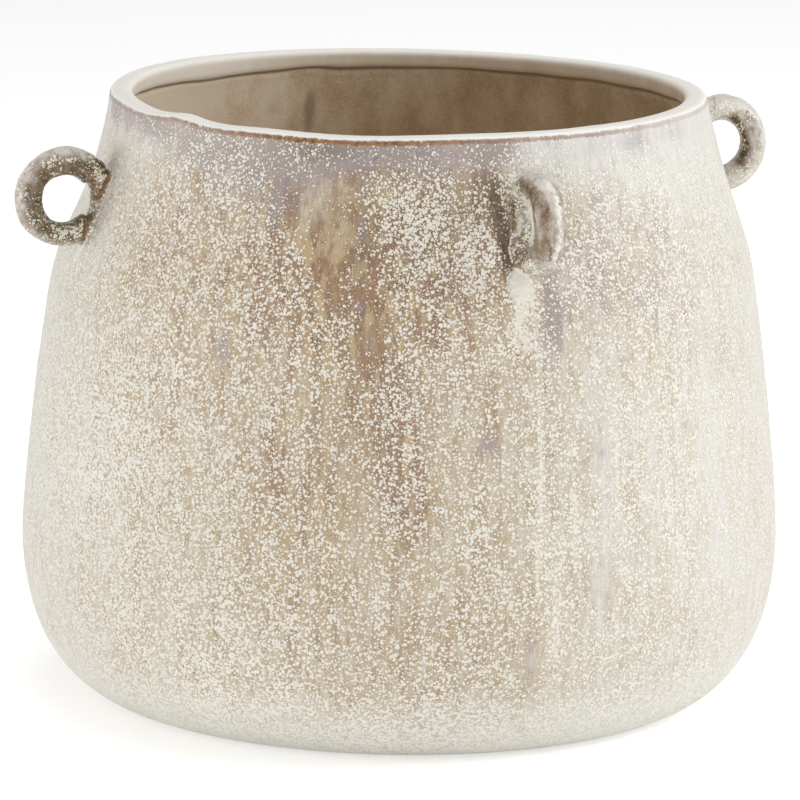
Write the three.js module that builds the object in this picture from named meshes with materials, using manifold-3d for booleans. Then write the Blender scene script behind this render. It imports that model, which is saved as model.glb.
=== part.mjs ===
// Stoneware flower pot with four small ring handles under the rim.
//
// Units are millimetres. +Z is up and the origin is the middle of the base, on the surface
// that the pot stands on. The front ring handle is on -Y, the right one near +X.
//
// The pot is thrown in one piece: a flat foot, a full round heel, walls that lean in to a
// narrower neck, and a thickened lip that overhangs the wall inside. Each ring handle is a
// rolled coil of clay bent into a ring, with a root that is pressed onto the wall.

import * as THREE from 'three';
import { mergeVertices } from 'three/addons/utils/BufferGeometryUtils.js';
import Module from 'manifold-3d';

const wasm = await Module();
wasm.setup();

// Body: radii and heights of the outer face
const HEIGHT = 200;
const FOOT_RADIUS = 93;
const BELLY_RADIUS = 125;
const BELLY_HEIGHT = 54;
const SHOULDER_RADIUS = 113.7;
const SHOULDER_DROP = 52; // below the rim
const RIM_RADIUS = 97.5;

// Body: how far each curve of the outer face keeps its direction before it bends
const FOOT_FLARE = 8;
const HEEL_ROUND = 44;
const BELLY_RISE = 14;
const SHOULDER_RUN = 18;
const NECK_RUN = 20;
const SHOULDER_LEAN = 0.26; // radius lost for each unit of height
const RIM_LEAN = 0.035;

// Body: wall, floor, lip and foot
const WALL = 6.5;
const FLOOR = 9;
const FLOOR_CORNER = 20;
const LIP_WIDTH = 7.6;
const LIP_FACE = 5.6;
const LIP_EDGE = 2;
const LIP_UNDERCUT = 3;
const FOOT_WIDTH = 16;
const RECESS_DEPTH = 2.5;
const RECESS_SLOPE = 3;

// Ring handles
const RING_RADIUS = 12; // centre line of the coil
const COIL_THICKNESS = 8.4;
const COIL_WIDTH = 9.2;
const RING_STANDOFF = 10.6; // from the wall's face to the ring's centre
const ROOT_THICKNESS = 2.4;
const ROOT_WIDTH = 11;
const ROOT_LENGTH = 22;
const SEAT_GAP = 0.3; // the joint of slip between a root and the wall

// Each ring is set by hand, so its drop below the rim and its turn about the pot differ a little
const FRONT_RING_DROP = 25.5;
const RIGHT_RING_DROP = 22.5;
const BACK_RING_DROP = 24;
const LEFT_RING_DROP = 30.8;
const RINGS = [
  { name: 'front_ring_handle', turn: 0, drop: FRONT_RING_DROP },
  { name: 'right_ring_handle', turn: 90, drop: RIGHT_RING_DROP },
  { name: 'back_ring_handle', turn: 177, drop: BACK_RING_DROP },
  { name: 'left_ring_handle', turn: 268.5, drop: LEFT_RING_DROP },
];

// Fineness of the facets
const TURN_STEPS = 72;
const HEEL_STEPS = 8;
const SIDE_STEPS = 5;
const NECK_STEPS = 6;
const EDGE_STEPS = 3;
const CORNER_STEPS = 4;
const RING_STEPS = 36;
const COIL_STEPS = 12;

// Materials
const glaze = new THREE.MeshStandardMaterial({ color: 0xd3c9ba, roughness: 0.5, metalness: 0 });
const darkGlaze = new THREE.MeshStandardMaterial({ color: 0x9a8f80, roughness: 0.45, metalness: 0 });

const point = (radius, height) => new THREE.Vector2(radius, height);

const shoulderHeight = HEIGHT - SHOULDER_DROP;
const lipEdgeHeight = HEIGHT - LIP_EDGE;

// The outer face from the foot's edge up to where the lip begins, in three curves
function outerFace() {
  const heel = new THREE.CubicBezierCurve(
    point(FOOT_RADIUS, 0),
    point(FOOT_RADIUS + FOOT_FLARE, 0),
    point(BELLY_RADIUS, BELLY_HEIGHT - HEEL_ROUND),
    point(BELLY_RADIUS, BELLY_HEIGHT),
  );
  const side = new THREE.CubicBezierCurve(
    point(BELLY_RADIUS, BELLY_HEIGHT),
    point(BELLY_RADIUS, BELLY_HEIGHT + BELLY_RISE),
    point(SHOULDER_RADIUS + SHOULDER_LEAN * SHOULDER_RUN, shoulderHeight - SHOULDER_RUN),
    point(SHOULDER_RADIUS, shoulderHeight),
  );
  const neck = new THREE.CubicBezierCurve(
    point(SHOULDER_RADIUS, shoulderHeight),
    point(SHOULDER_RADIUS - SHOULDER_LEAN * NECK_RUN, shoulderHeight + NECK_RUN),
    point(RIM_RADIUS + RIM_LEAN * NECK_RUN, lipEdgeHeight - NECK_RUN),
    point(RIM_RADIUS, lipEdgeHeight),
  );
  return [
    ...heel.getPoints(HEEL_STEPS),
    ...side.getPoints(SIDE_STEPS).slice(1),
    ...neck.getPoints(NECK_STEPS).slice(1),
  ];
}

// The same line moved sideways: a positive distance goes outwards, a negative one into the clay
function offset(line, distance) {
  return line.map((here, index) => {
    const before = line[Math.max(index - 1, 0)];
    const after = line[Math.min(index + 1, line.length - 1)];
    const along = after.clone().sub(before).normalize();
    return point(here.x + distance * along.y, here.y - distance * along.x);
  });
}

// The radius of a line where it reaches a height
function radiusAt(line, height) {
  for (let index = 1; index < line.length; index += 1) {
    const low = line[index - 1];
    const high = line[index];
    if (high.y >= height) {
      return THREE.MathUtils.mapLinear(height, low.y, high.y, low.x, high.x);
    }
  }
  return line[line.length - 1].x;
}

// A quarter bend from one point to another, round a corner
function bend(from, corner, to, steps) {
  return new THREE.QuadraticBezierCurve(from, corner, to).getPoints(steps);
}

function lathe(profile) {
  return new THREE.LatheGeometry(profile, TURN_STEPS).rotateX(Math.PI / 2);
}

// The body's outline, from the middle of its underside round to the middle of its floor
function bodyProfile() {
  const outer = outerFace();
  const lipInner = RIM_RADIUS - LIP_WIDTH;
  const lipFoot = HEIGHT - LIP_FACE;
  const lipOuterEdge = point(RIM_RADIUS - LIP_EDGE, HEIGHT);
  const lipInnerEdge = point(lipInner + LIP_EDGE, HEIGHT);
  const recessRadius = FOOT_RADIUS - FOOT_WIDTH;

  const underside = [
    point(0, RECESS_DEPTH),
    point(recessRadius - RECESS_SLOPE, RECESS_DEPTH),
    point(recessRadius, 0),
  ];
  const lip = [
    ...bend(outer.at(-1), point(RIM_RADIUS, HEIGHT), lipOuterEdge, EDGE_STEPS).slice(1),
    ...bend(lipInnerEdge, point(lipInner, HEIGHT), point(lipInner, lipEdgeHeight), EDGE_STEPS),
    point(lipInner, lipFoot),
  ];

  const cornerHeight = FLOOR + FLOOR_CORNER;
  const innerWall = offset(outer, -WALL);
  const cornerRadius = radiusAt(innerWall, cornerHeight);
  const inside = innerWall.filter((p) => p.y > cornerHeight && p.y < lipFoot - LIP_UNDERCUT);
  const undercut = point(radiusAt(innerWall, lipFoot - LIP_UNDERCUT), lipFoot - LIP_UNDERCUT);
  const floor = bend(
    point(cornerRadius, cornerHeight),
    point(cornerRadius, FLOOR),
    point(cornerRadius - FLOOR_CORNER, FLOOR),
    CORNER_STEPS,
  );
  return [...underside, ...outer, ...lip, undercut, ...inside.reverse(), ...floor, point(0, FLOOR)];
}

// A closed solid from a three.js geometry, with its doubled vertices joined
function toSolid(geometry) {
  const bare = geometry.clone();
  bare.deleteAttribute('normal');
  bare.deleteAttribute('uv');
  const merged = mergeVertices(bare);
  const corners = merged.index.array;
  const triangles = [];
  for (let index = 0; index < corners.length; index += 3) {
    const [a, b, c] = corners.slice(index, index + 3);
    if (a !== b && b !== c && c !== a) triangles.push(a, b, c);
  }
  return new wasm.Manifold(new wasm.Mesh({
    numProp: 3,
    vertProperties: new Float32Array(merged.attributes.position.array),
    triVerts: new Uint32Array(triangles),
  }));
}

function toGeometry(solid) {
  const { vertProperties, triVerts } = solid.getMesh();
  const geometry = new THREE.BufferGeometry();
  geometry.setAttribute('position', new THREE.BufferAttribute(vertProperties, 3));
  geometry.setIndex(new THREE.BufferAttribute(triVerts, 1));
  geometry.computeVertexNormals();
  return geometry;
}

// The space that the wall takes up, with the slip joint round it: a root is cut back to this
function seatForm() {
  const face = offset(outerFace(), SEAT_GAP).filter((p) => p.y > BELLY_HEIGHT);
  return lathe([point(0, face[0].y), ...face, point(0, face.at(-1).y)]);
}

// One ring, in a frame whose origin is the ring's centre: +X runs away from the pot
function ringHandle(place, wallSlope) {
  const coil = new THREE.TorusGeometry(RING_RADIUS, COIL_THICKNESS / 2, COIL_STEPS, RING_STEPS);
  coil.scale(1, 1, COIL_WIDTH / COIL_THICKNESS);
  coil.rotateX(Math.PI / 2);

  const root = new THREE.SphereGeometry(1, RING_STEPS / 2, COIL_STEPS);
  root.scale(ROOT_THICKNESS, ROOT_WIDTH / 2, ROOT_LENGTH / 2);
  root.rotateY(-wallSlope);
  root.translate(-RING_STANDOFF, 0, 0);

  const wall = seatForm().applyMatrix4(place.clone().invert());
  return toGeometry(toSolid(coil).add(toSolid(root)).subtract(toSolid(wall)));
}

const pot = new THREE.Group();

const body = new THREE.Mesh(lathe(bodyProfile()), glaze);
body.name = 'pot_body';
pot.add(body);

const wallFace = outerFace();
for (const { name, turn, drop } of RINGS) {
  const height = HEIGHT - drop;
  const wallRadius = radiusAt(wallFace, height);
  const inset = radiusAt(wallFace, height - RING_RADIUS) - radiusAt(wallFace, height + RING_RADIUS);
  const wallSlope = Math.atan2(inset, 2 * RING_RADIUS);
  const angle = THREE.MathUtils.degToRad(turn - 90);
  const reach = wallRadius + RING_STANDOFF;

  const stand = new THREE.Object3D();
  stand.position.set(reach * Math.cos(angle), reach * Math.sin(angle), height);
  stand.rotation.z = angle;
  stand.updateMatrix();

  const ring = new THREE.Mesh(ringHandle(stand.matrix, wallSlope), darkGlaze);
  ring.name = name;
  ring.position.copy(stand.position);
  ring.rotation.copy(stand.rotation);
  pot.add(ring);
}

export default pot;
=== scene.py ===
"""Looks of a stoneware flower pot with four ring handles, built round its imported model.

Lengths are in millimetres until a mesh is made. +Z is up. A turn is an angle about the pot's axis in
degrees, from the front ring handle (-Y) towards the right one (+X). "Along" is the distance over the
pot's skin from the outer corner of its lip: positive down the outside, negative over the lip and in.
"""

from math import cos, pi, radians, sin

import bpy
import numpy as np
from mathutils import Matrix, Vector


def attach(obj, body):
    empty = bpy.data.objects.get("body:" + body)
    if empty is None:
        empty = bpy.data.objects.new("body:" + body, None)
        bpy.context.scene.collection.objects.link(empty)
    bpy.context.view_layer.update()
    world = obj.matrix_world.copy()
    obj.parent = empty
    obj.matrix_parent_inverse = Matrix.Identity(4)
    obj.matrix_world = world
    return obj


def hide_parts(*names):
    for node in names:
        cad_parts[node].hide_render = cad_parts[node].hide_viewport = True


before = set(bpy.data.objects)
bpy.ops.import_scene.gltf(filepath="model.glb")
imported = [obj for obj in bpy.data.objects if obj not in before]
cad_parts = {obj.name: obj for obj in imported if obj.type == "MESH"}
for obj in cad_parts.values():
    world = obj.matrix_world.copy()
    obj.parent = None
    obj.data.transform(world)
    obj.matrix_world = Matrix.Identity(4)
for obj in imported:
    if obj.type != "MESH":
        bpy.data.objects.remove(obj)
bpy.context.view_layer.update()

MM = 0.001

# The photograph's camera: place and aim in the pot's frame
CAMERA_TURN = -21.3
CAMERA_DISTANCE = 2000.0
CAMERA_HEIGHT = 506.0
CAMERA_PITCH = 11.58
CAMERA_ROLL = 0.886
CAMERA_SIDESTEP = -0.42
LENS = 277.5
SENSOR = 36.0

# The studio. Lamps: name, turn, distance and height in mm, width and depth in metres, and power
LAMPS = [
    ("key", 62.0, 2500.0, 1500.0, (1.5, 1.5), 32.0),
    ("right_low", 75.0, 1600.0, 100.0, (1.2, 0.4), 5.0),
    ("left_fill", -100.0, 1600.0, 90.0, (1.2, 0.4), 13.6),
    ("front_fill", -18.0, 1800.0, 90.0, (1.6, 0.4), 13.5),
    ("top", 0.0, 10.0, 2000.0, (1.2, 1.2), 12.0),
]
LAMP_AIM_HEIGHT = 100.0
SKY_STRENGTH = 0.30
FLOOR_REACH = 6000.0
FLOOR_TONE = 0.94
FLOOR_GLOW = 0.08
FLOOR_GLOW_SEEN = 0.34  # added where the camera sees the floor

# The pot's outline, as in its solid
HEIGHT = 200.0
FOOT_RADIUS = 93.0
BELLY_RADIUS = 125.0
BELLY_HEIGHT = 54.0
SHOULDER_RADIUS = 113.7
SHOULDER_HEIGHT = 148.0
RIM_RADIUS = 97.5
FOOT_FLARE = 8.0
HEEL_ROUND = 44.0
BELLY_RISE = 14.0
SHOULDER_RUN = 18.0
NECK_RUN = 20.0
SHOULDER_LEAN = 0.26
RIM_LEAN = 0.035
WALL = 6.5
FLOOR = 9.0
FLOOR_CORNER = 20.0
LIP_WIDTH = 7.6
LIP_FACE = 5.6
LIP_EDGE = 2.0
LIP_UNDERCUT = 3.0
LIP_CROWN = 0.6  # how much wider the lip's edges are rounded on top than on their sides
LIP_FOOT_ROUND = 1.2
FOOT_WIDTH = 16.0
RECESS_DEPTH = 2.5
RECESS_SLOPE = 3.0
RECESS_ROUND = 1.2

# The ring handles, as in their solids
RING_RADIUS = 12.0
COIL_THICKNESS = 8.4
COIL_WIDTH = 9.2
RING_STANDOFF = 10.6
RINGS = {
    "front": dict(
        turn=0, drop=25.5, stand=0, seed=11, shade=0.62, heavy=0, girth=0.35, slip=-0.35, face=-5.2,
        lay=4.8, skirt=4.8, aside=-1, tip=-5,
    ),
    "right": dict(
        turn=90, drop=22.7, stand=0.5, seed=23, shade=0.16, heavy=-0.05, girth=0, slip=0, face=-8.3,
        lay=3.6, skirt=5.5, aside=0, tip=2,
    ),
    "back": dict(
        turn=177, drop=24, stand=0, seed=37, shade=0.75, heavy=0.1, girth=0.1, slip=0.2, face=-7,
        lay=4.2, skirt=5, aside=0.5, tip=-2,
    ),
    "left": dict(
        turn=268.5, drop=30.8, stand=0.45, seed=53, shade=0.88, heavy=0.35, girth=0, slip=0, face=-8.6,
        lay=3.6, skirt=4.6, aside=0, tip=0.5,
    ),
}
# The edge of the front coil's end, and the left coil's inner face, as (out, side, up) in mm
COIL_END_ARCH = [(-5.6, -7.2, -12.6), (-6.5, -6.7, -8), (-6, -6.1, -5.1), (-5.8, -4.5, -4)]
LEFT_INNER_FACE = [(-10.2, 3.2, 2.6), (-10.7, 3.5, 0), (-10.4, 3.7, -2.3), (-8.5, 4.3, -9)]
# Marks on the rings: kind, half width in mm, amount, and the path in the ring's (out, side, up) mm
RING_MARKS = {}
RING_MARKS["front"] = [
    # The first three brown marks paint shade on the near tube's left side
    ("brown", 2, 0.38, [(-4.1, -4.3, 13.2), (4.2, -4.1, 12.6), (10.2, -3.6, 10.4), (13.8, -3, 6.9)]),
    ("brown", 1.9, 0.38, [(13.8, -3, 6.9), (14.9, -3.1, 2.3), (15, -3.1, -2.4), (12.4, -3.4, -7.8)]),
    ("brown", 1.4, 0.3, [(14.5, -3.6, 0.2), (14.9, -3, -1)]),
    ("rust", 0.75, 1.5, [(14, -2.2, 8.2), (14.5, -2.6, 5.5), (14.8, -2.7, 1.4)]),
    ("rust", 0.75, 1.4, [(15.3, -2.3, -2.9), (15.2, -1.5, -5.4), (13.7, -1, -8.9)]),
    ("bare", 3.4, 1, [(6, -4.4, 12.4), (11.6, -4.2, 8.4), (13.2, -4.2, 0), (11.4, -4.2, -7.8)]),
    ("bare", 2.8, 0.7, [(6, 0.5, 15.4), (12.4, 1, 10.4), (16, 1, 2), (15, 1, -7)]),
    ("brown", 1.2, 0.45, [(-8.2, -5.2, 5), (-7.2, -5.2, 1.5), (-6.6, -5.2, -2)]),
    ("pale", 1.6, 0.35, [(-4.6, -4.4, 8), (-3.6, -4.4, 4), (-3.2, -4.4, 0), (-3.6, -4.4, -4)]),
    ("groove", 0.45, 0.3, [(7, -4.4, 5.6), (8.9, -4.4, 2), (9.2, -4.4, -1.6), (8.2, -4.4, -4.6)]),
    # The next two cream lines on the near tube's inner edge: thin pale glaze there, and a painted highlight
    ("cream", 1, 1.8, [(3, -4.4, 8.8), (5.8, -4.4, 6.4), (7.6, -4.2, 2.8), (7.9, -4.2, -1)]),
    ("cream", 0.9, 1.5, [(7.9, -4.2, -1), (7.4, -4.2, -4.6), (5.2, -4.5, -8.8), (3, -4.4, -13)]),
    ("cream", 1.7, 1.05, [(-6, -1, 9), (-5.9, -0.8, 4), (-5.6, -0.8, -2)]),
    ("cream", 1.1, 1.4, [(-3.4, -3.1, 8.2), (-5.9, -0.3, 5.1), (-6.1, 0.7, 3.1), (-5.7, 0.7, 1.9)]),
    ("cream", 1.1, 1.4, [(-5.7, 0.7, 1.9), (-5.6, 1, -1.2), (-5.7, 1.1, -4.4), (-3, -0.6, -7.4)]),
    # The next three cream marks paint light: the near tube's lit right edge and a highlight on its top
    ("cream", 2.7, 0.9, [(8, -0.2, 13.6), (10.7, 0.4, 12.6), (13.5, 1.2, 8.9), (14.9, 1.7, 4.4)]),
    ("cream", 2.7, 0.9, [(14.9, 1.7, 4.4), (15.3, 1.9, -0.9), (15.1, 1, -6.2), (14.1, 0.6, -8.6)]),
    ("cream", 2.4, 0.55, [(1, -2.3, 15.4), (5, -2, 15.2)]),
    ("pale", 2.8, 0.22, [(-6.1, -4.4, 8.8), (-5.9, -2, 5), (-5.6, -1.5, 1), (-5.5, -1, -3)]),
    ("dots", 2.6, 0.35, [(-6.1, -4.4, 8.8), (-5.9, -3, 6.8), (-5.9, -2.6, 2.4), (-5.3, -1.7, -3.3)]),
    ("groove", 0.6, 0.7, [(-11.4, -5.8, 4.5), (-9.5, -6, 0.7), (-7.6, -6.2, -3.4), (-6.6, -6.6, -7.3)]),
    ("rust", 0.9, 0.8, [(-8, -5.3, 2.5), (-7, -5.2, -0.2), (-5.6, -5.2, -2.8)]),
    ("ridge", 0.6, 0.7, COIL_END_ARCH),
    ("cream", 0.6, 1.5, COIL_END_ARCH),
    ("groove", 0.55, 0.6, [(-6, -5.8, -7.4), (-5.9, -5, -5.4), (-5.9, -3.6, -5.2)]),
    ("cream", 1.1, 0.9, [(-4, -2.5, -7.5)]),
    ("rust", 0.9, 0.7, [(-4.4, -4.3, -10), (-4.4, -5.3, -12.4), (-3.8, -5.1, -16.2)]),
    ("groove", 0.45, 0.35, [(-0.7, -1.5, -8.2), (3, -3.6, -9.4), (5.9, -4.8, -9.4)]),
    ("cream", 1, 0.6, [(-4.4, -4.9, -15.3), (1, -3.6, -15.6), (6.5, -3, -14.1), (11, -1.5, -11.9)]),
    ("dots", 1.8, 0.4, [(2, -4.6, -12), (8, -4.4, -10.5)]),
]
RING_MARKS["right"] = [
    ("rust", 0.55, 1.1, [(-3.1, -0.9, 15.9), (-4, -3.5, 14.3), (-4.3, -4.5, 12.4)]),
    ("brown", 0.6, 0.7, [(7.8, -4.5, 11.3)]),
    ("groove", 0.5, 0.4, [(6.7, -2.4, -5), (3.8, -2.4, -7.6), (1.2, -3.5, -9.3)]),
    ("brown", 1.8, 0.75, [(3, -3.4, 8.6), (5.5, -2.8, 6.3), (7.6, -2.3, 2.8), (8.3, -2.6, 0)]),
    ("brown", 1.8, 0.75, [(8.3, -2.6, 0), (8, -2.6, -2.6), (6.5, -3.2, -6.2)]),
    ("dots", 1.8, 0.4, [(5.5, -2.8, 6.3), (7.6, -2.3, 2.8), (8.3, -2.6, 0), (8, -2.6, -2.6)]),
    ("cream", 2.6, 0.62, [(-3, -3.6, 13.6), (2, -3.6, 13.6), (8, -3.8, 11.6), (12, -4, 8)]),
    ("cream", 1.2, 0.6, [(8.5, -4.3, -5.7), (11.2, -4.2, -4.6)]),
    ("pale", 5, 0.3, [(-4, -1, 15), (4, -1, 15.6), (11, -1, 11.5), (15.5, -1, 4)]),
    ("pale", 5, 0.25, [(15.5, -1, 4), (15.5, -1, -4), (11, -1, -11), (5, -2, -14)]),
    ("pale", 2.4, 0.2, [(13, -3.4, 6), (14.4, -3, 0), (12.6, -3.2, -6.8), (7, -3.6, -12.4)]),
    ("dots", 2.2, 0.35, [(9.4, -4.7, 9.6), (-0.8, -4.4, 13)]),
]
RING_MARKS["back"] = [
    ("groove", 0.6, 0.7, [(-13.6, 4.6, 8), (-11.8, 4.4, 4), (-9.6, 4, 0), (-8, 2.8, -3)]),
    ("groove", 0.8, 0.7, [(-7.6, 2.4, -5.6), (-7, 3.4, -9.6), (-5.6, 3.2, -13)]),
    ("rust", 0.6, 0.9, [(6, 4.6, 9), (10.5, 4.4, 5), (12, 4.3, 1)]),
    ("dots", 1.6, 0.45, [(8, 4.2, 12), (2, 4.4, 13.4), (-3, 4.5, 12)]),
    ("cream", 2.2, 0.5, [(3, 1, 15.6), (12, 1, 10.6), (16, 0, 0)]),
]
RING_MARKS["left"] = [
    ("groove", 0.7, 1, [(-14.8, 3.4, 7.6), (-12.9, 4, 4.9), (-11.1, 3.3, 0.7), (-9.5, 1.6, -0.3)]),
    ("groove", 0.4, 0.45, [(-8.2, 4.7, 7.5), (-9.2, 2, 4), (-9.4, 2, 0.8)]),
    ("groove", 0.9, 1, [(-8.2, 1, -5.6), (-6.8, 3.6, -7.7), (-6.2, 4.2, -9.9), (-5.2, 3, -13)]),
    ("rust", 1, 0.8, [(-7.3, 2.6, -6.6), (-6.4, 4.2, -8.6)]),
    ("brown", 1.8, 0.75, [(-11, 2.5, 11.9), (-12.6, 2.9, 10.2), (-14.5, 2, 8.4)]),
    ("brown", 1.6, 0.3, [(-4, 4.6, 11), (-8, 4.7, 10)]),
    ("rust", 0.9, 0.9, [(6.7, 4.6, 9), (5.4, 4.5, 9.9), (4, 4.4, 10.7)]),
    ("brown", 1.3, 0.35, [(13, 4.3, 5.4), (13.3, 4.3, 2.1), (13, 4.5, -1.4)]),
    ("rust", 0.6, 0.9, [(3.5, 4.3, -12.3)]),
    ("dots", 1.5, 0.4, [(7.8, 3.7, 12.2), (5.1, 3.5, 13.7), (2.6, 4.3, 13.1), (-2, 4.5, 12.9)]),
    ("dots", 0.7, 0.4, [(14.4, 3.6, 3.7), (14.2, 4, -1.2), (13, 4.4, -5.7)]),
    ("dots", 1.8, 0.35, [(4.5, 4.2, -9.4), (1.9, 4.5, -11.1), (-0.3, 3.9, -10)]),
    ("rust", 1.3, 0.5, LEFT_INNER_FACE),
    ("dots", 1.3, 0.25, LEFT_INNER_FACE),
    ("cream", 0.7, 0.9, [(-8.1, 4.7, -9.5), (-7.2, 4.4, -11.2), (-6.2, 3.2, -14), (-5.2, 2, -17.1)]),
]
RING_ALONG = 60.0  # well down the outside, where no lip shows
RING_VOXEL = 0.42
RING_SMOOTHING = 2
# Where the coil starts and ends round its ring, in degrees up from straight out
COIL_START = 150.0
COIL_END = -121.0
COIL_END_REACH = 3.6
# The root and its tail start at the coil and bend to the wall, as (out, side, up); the pad and the thin
# skirt round it lie on the wall between two heights
ROOT_START = (-6.9, 0.0, 9.8)
ROOT_BEND = (-9.8, 0.0, 8.4)
ROOT_FOOT_UP = 6.6
TAIL_START = (-8.3, 0.0, 8.7)
TAIL_BEND = (-11.8, -0.3, 5.5)
PAD_TOP = 8.5
PAD_FOOT = -14.5
PAD_LEAST = 1.6
PAD_MOST = 4.3
SKIRT_TOP = 9.0
SKIRT_FOOT = -17.0
SKIRT_THICKNESS = 1.1
# The steps of a mark's path, how strongly it is met again on the ring's other side, and how much higher
MARK_STEP = 0.7
MIRRORED = 0.5
MIRRORED_RISE = 0.7

# Colours in linear light. The glaze's ramps go from the palest tone to the darkest, and those of the
# inside and the bare clay the other way.
GROUND = [
    (0.00, (0.69, 0.675, 0.63)),
    (0.25, (0.60, 0.545, 0.445)),
    (0.50, (0.47, 0.375, 0.25)),
    (0.75, (0.32, 0.21, 0.12)),
    (1.00, (0.17, 0.10, 0.055)),
]
RING_GROUND = [
    (0.00, (0.60, 0.56, 0.51)),
    (0.25, (0.37, 0.31, 0.26)),
    (0.50, (0.235, 0.175, 0.115)),
    (0.75, (0.125, 0.088, 0.045)),
    (1.00, (0.055, 0.036, 0.018)),
]
# The inside, from dark to pale; painted light moves its back-left towards the pale end
INSIDE = [
    (0.00, (0.43, 0.31, 0.19)),
    (0.25, (0.61, 0.465, 0.305)),
    (0.50, (0.77, 0.625, 0.45)),
    (0.75, (0.88, 0.775, 0.62)),
]
CLAY = [(0.2, (0.42, 0.30, 0.21)), (0.8, (0.55, 0.42, 0.31))]
LILAC = [(0.05, (0.64, 0.61, 0.61)), (0.35, (0.47, 0.42, 0.42)), (0.75, (0.27, 0.20, 0.19))]
LILAC_DEEP = (0.33, 0.285, 0.28)
LILAC_DARK = (0.215, 0.18, 0.17)
OCHRE = (0.50, 0.365, 0.20)
RUSSET = (0.30, 0.165, 0.09)
HALO = (0.28, 0.20, 0.12)
CREAM = (0.86, 0.85, 0.80)
CREAM_DIMMED = (0.725, 0.70, 0.625)
CREAM_DULL = (0.78, 0.755, 0.68)
RING_CREAM = (0.74, 0.68, 0.50)
POOL = (0.85, 0.835, 0.77)
POOL_DULL = (0.78, 0.74, 0.63)
LIP = (0.92, 0.90, 0.86)
LIP_SHADE = (0.87, 0.84, 0.77)
# The inner lip's lit and shaded tones, mixed by painted light and cloudy patches
INNER_LIP = (0.90, 0.84, 0.74)
INNER_LIP_DULL = (0.66, 0.51, 0.35)
# A dark brown for painted shade: the shadow line under the lip and the shade in the inside's dent
PAINTED_SHADE = (0.20, 0.14, 0.09)
RUST = (0.31, 0.145, 0.05)
RUST_DARK = (0.13, 0.065, 0.03)
# Dark browns for stains, and for painted shade in the rings' hollows and grooves
STAIN_AND_SHADE = (0.10, 0.05, 0.022)
STAIN_AND_SHADE_PALE = (0.33, 0.18, 0.075)

PLAIN_GLAZE = (0.6, 0.5, 0.4)  # for a viewer that can't show the nodes

# The glaze's fields on the skin, other than its place along it; some also carry painted light and shade
GLAZE_FIELDS = ("cover", "warm", "lilac", "pool", "rust", "stain_and_shade", "dark", "painted_light", "dimmed_dots")
# Spacing in mm of the cream crystals' three layers
BROAD_SPACING = 1.5
DOT_SPACING = 0.95
SMALL_SPACING = 0.55
# Places along the skin where one surface eases into the next
BARE_LIP = (-1.0, -1.6)
INNER_FACE = (-7.0, -10.5)
INSIDE_START = (-13.5, -15.5)
# Where a thin line of painted shadow runs under the lip's lower edge
SHADE_PLACE = -14.4
# The burnt line at the lip's outer corner: its place, half width and full core
RUST_LINE = -0.35
RUST_REACH = 0.95
RUST_CORE = 0.35

# Fineness of the body's mesh
COLUMNS = 420
WALL_STEP = 2.0
LIP_STEP = 0.55
UNDERCUT_STEP = 0.9
INSIDE_STEP = 4.0
FOOT_STEP = 2.2
SLOPE_STEP = 0.8
FLAT_STEP = 8.0


def hashed(cells, seed):
    """A number from -1 to 1 for each whole-number cell."""
    x, y, z = (cells[..., axis].astype(np.uint32) for axis in range(3))
    mixed = x * np.uint32(374761393) + y * np.uint32(668265263) + z * np.uint32(2246822519)
    mixed = mixed + np.uint32(seed * 3266489917 % 2**32)
    mixed = (mixed ^ (mixed >> np.uint32(13))) * np.uint32(1274126177)
    mixed = mixed ^ (mixed >> np.uint32(16))
    return mixed.astype(float) / 2**31 - 1.0


def noise(points, size, seed):
    """Smooth noise from -1 to 1 over an array of points, in lumps about one size across."""
    scaled = np.asarray(points, float) / size + 1000.0
    cell = np.floor(scaled).astype(np.int64)
    part = scaled - cell
    smooth = part**3 * (part * (part * 6.0 - 15.0) + 10.0)
    total = np.zeros(points.shape[:-1])
    for corner in np.ndindex(2, 2, 2):
        offset = np.array(corner)
        weight = np.prod(np.where(offset == 1, smooth, 1.0 - smooth), axis=-1)
        total += weight * hashed(cell + offset, seed)
    return total


def turn_gap(turn, centre):
    """How far a turn is from a centre, in degrees from -180 to 180."""
    return (turn - centre + 180.0) % 360.0 - 180.0


def hump(distance, half_width):
    """A smooth hump: 1 in the middle, near 0 past its half width."""
    return np.exp(-(distance / half_width) ** 2 * 1.5)


def clamped(value):
    return np.clip(value, 0.0, 1.0)


def bezier(start, leave, arrive, end, count=60):
    t = np.linspace(0.0, 1.0, count)[:, None]
    points = [np.array(p, float) for p in (start, leave, arrive, end)]
    weights = [(1 - t) ** 3, 3 * (1 - t) ** 2 * t, 3 * (1 - t) * t**2, t**3]
    return sum(weight * p for weight, p in zip(weights, points))


def bend(start, corner, end, count=12):
    t = np.linspace(0.0, 1.0, count)[:, None]
    points = [np.array(p, float) for p in (start, corner, end)]
    return (1 - t) ** 2 * points[0] + 2 * (1 - t) * t * points[1] + t**2 * points[2]


def directions(line):
    """The unit direction of a line at each of its points."""
    steps = np.gradient(line, axis=0)
    return steps / np.linalg.norm(steps, axis=1)[:, None]


def lengths_along(line):
    """How far each point of a line is from its start, along the line."""
    steps = np.linalg.norm(np.diff(line, axis=0), axis=1)
    return np.concatenate([[0.0], np.cumsum(steps)])


def at_lengths(line, lengths, count):
    """Points at even lengths along a line, both its ends among them."""
    places = np.linspace(0.0, lengths[-1], count)
    return np.stack([np.interp(places, lengths, values) for values in line.T], axis=1)


def offset_line(line, distance):
    """A line of (radius, height) moved sideways: a positive distance goes outwards."""
    along = directions(line)
    return line + distance * np.stack([along[:, 1], -along[:, 0]], axis=1)


def resample(line, step):
    """A line in even steps of about one length."""
    lengths = lengths_along(line)
    return at_lengths(line, lengths, max(2, int(round(lengths[-1] / step)) + 1))


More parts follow.
